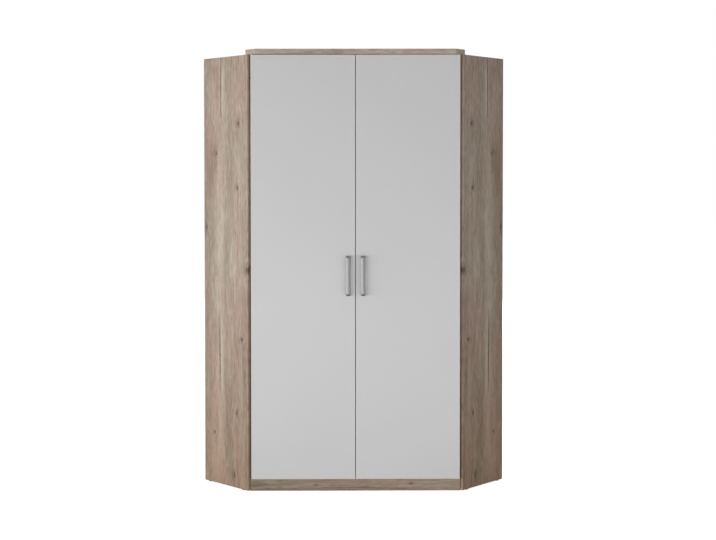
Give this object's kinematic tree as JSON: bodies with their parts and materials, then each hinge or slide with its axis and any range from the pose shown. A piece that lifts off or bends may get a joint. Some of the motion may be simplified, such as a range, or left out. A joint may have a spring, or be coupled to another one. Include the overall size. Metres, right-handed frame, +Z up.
{
  "type": "corner wardrobe",
  "caption": "Corner wardrobe with a diagonal front, plain white doors on concealed corner hinges, greyed oak decor sides, low plinth, thin cornice and metal bow handles.",
  "frame": {"origin": "on the floor, under the middle of the closed wardrobe's box", "axes": "+Z up, +Y to the room's corner behind the wardrobe, the doors face -Y, +X to the right as seen from the front"},
  "size_m": [1.386, 0.9496, 1.98],
  "materials": {
    "oak_decor": "chipboard with a greyed oak melamine decor and a fine pore texture",
    "white_melamine": "chipboard with a plain satin white melamine face",
    "hardboard": "bare brown hardboard",
    "batten_wood": "planed softwood",
    "satin_metal": "satin nickel over metal",
    "nickel": "bright nickel-plated steel",
    "chrome": "chrome-plated steel",
    "clear_plastic": "soft translucent plastic",
    "dark_plastic": "dark moulded plastic"
  },
  "bodies": {
    "carcass": {"bottom_panel": "oak_decor", "top_panel": "oak_decor", "hat_shelf": "oak_decor", "plinth_board": "oak_decor", "cornice_board": "oak_decor", "corner_batten": "batten_wood", "clothes_rail": "chrome", "corner_glide": "dark_plastic", "left_side_panel": "oak_decor", "left_back_panel": "hardboard", "left_front_shelf_pin": "nickel", "left_rear_shelf_pin": "nickel", "left_front_glide": "dark_plastic", "left_rear_glide": "dark_plastic", "left_bumper": "clear_plastic", "left_rail_bracket": "chrome", "left_lower_hinge_plate": "nickel", "left_lower_hinge_arm": "nickel", "left_middle_hinge_plate": "nickel", "left_middle_hinge_arm": "nickel", "left_upper_hinge_plate": "nickel", "left_upper_hinge_arm": "nickel", "right_side_panel": "oak_decor", "right_back_panel": "hardboard", "right_front_shelf_pin": "nickel", "right_rear_shelf_pin": "nickel", "right_front_glide": "dark_plastic", "right_rear_glide": "dark_plastic", "right_bumper": "clear_plastic", "right_rail_bracket": "chrome", "right_lower_hinge_plate": "nickel", "right_lower_hinge_arm": "nickel", "right_middle_hinge_plate": "nickel", "right_middle_hinge_arm": "nickel", "right_upper_hinge_plate": "nickel", "right_upper_hinge_arm": "nickel"},
    "left_long_links": {"left_lower_hinge_long_link": "nickel", "left_middle_hinge_long_link": "nickel", "left_upper_hinge_long_link": "nickel"},
    "left_short_links": {"left_lower_hinge_short_link": "nickel", "left_middle_hinge_short_link": "nickel", "left_upper_hinge_short_link": "nickel"},
    "left_door": {"left_door": "white_melamine", "left_handle": "satin_metal", "left_lower_hinge_cup": "nickel", "left_middle_hinge_cup": "nickel", "left_upper_hinge_cup": "nickel"},
    "right_long_links": {"right_lower_hinge_long_link": "nickel", "right_middle_hinge_long_link": "nickel", "right_upper_hinge_long_link": "nickel"},
    "right_short_links": {"right_lower_hinge_short_link": "nickel", "right_middle_hinge_short_link": "nickel", "right_upper_hinge_short_link": "nickel"},
    "right_door": {"right_door": "white_melamine", "right_handle": "satin_metal", "right_lower_hinge_cup": "nickel", "right_middle_hinge_cup": "nickel", "right_upper_hinge_cup": "nickel"}
  },
  "joints": [
    {"name": "left_door_swing", "type": "hinge", "parent": "left_long_links", "child": "left_door", "pos_m": [-0.45143, -0.43334, 1], "axis": [0, 0, -1], "range_deg": [0, 76]},
    {"name": "left_long_link_swing", "type": "hinge", "parent": "carcass", "child": "left_long_links", "pos_m": [-0.44433, -0.41954, 1], "axis": [0, 0, -1], "range_deg": [0, 19.5]},
    {"name": "left_short_link_swing", "type": "hinge", "parent": "carcass", "child": "left_short_links", "pos_m": [-0.44973, -0.42664, 1], "axis": [0, 0, -1], "range_deg": [0, 68]},
    {"name": "right_door_swing", "type": "hinge", "parent": "right_long_links", "child": "right_door", "pos_m": [0.45143, -0.43334, 1], "axis": [0, 0, 1], "range_deg": [0, 76]},
    {"name": "right_long_link_swing", "type": "hinge", "parent": "carcass", "child": "right_long_links", "pos_m": [0.44433, -0.41954, 1], "axis": [0, 0, 1], "range_deg": [0, 19.5]},
    {"name": "right_short_link_swing", "type": "hinge", "parent": "carcass", "child": "right_short_links", "pos_m": [0.44973, -0.42664, 1], "axis": [0, 0, 1], "range_deg": [0, 68]}
  ],
  "couplings": [
    {"joint": "left_long_link_swing", "follows": "left_door_swing", "ratio": 0.25},
    {"joint": "left_short_link_swing", "follows": "left_door_swing", "ratio": 0.8725},
    {"joint": "right_long_link_swing", "follows": "right_door_swing", "ratio": 0.25},
    {"joint": "right_short_link_swing", "follows": "right_door_swing", "ratio": 0.8725}
  ]
}
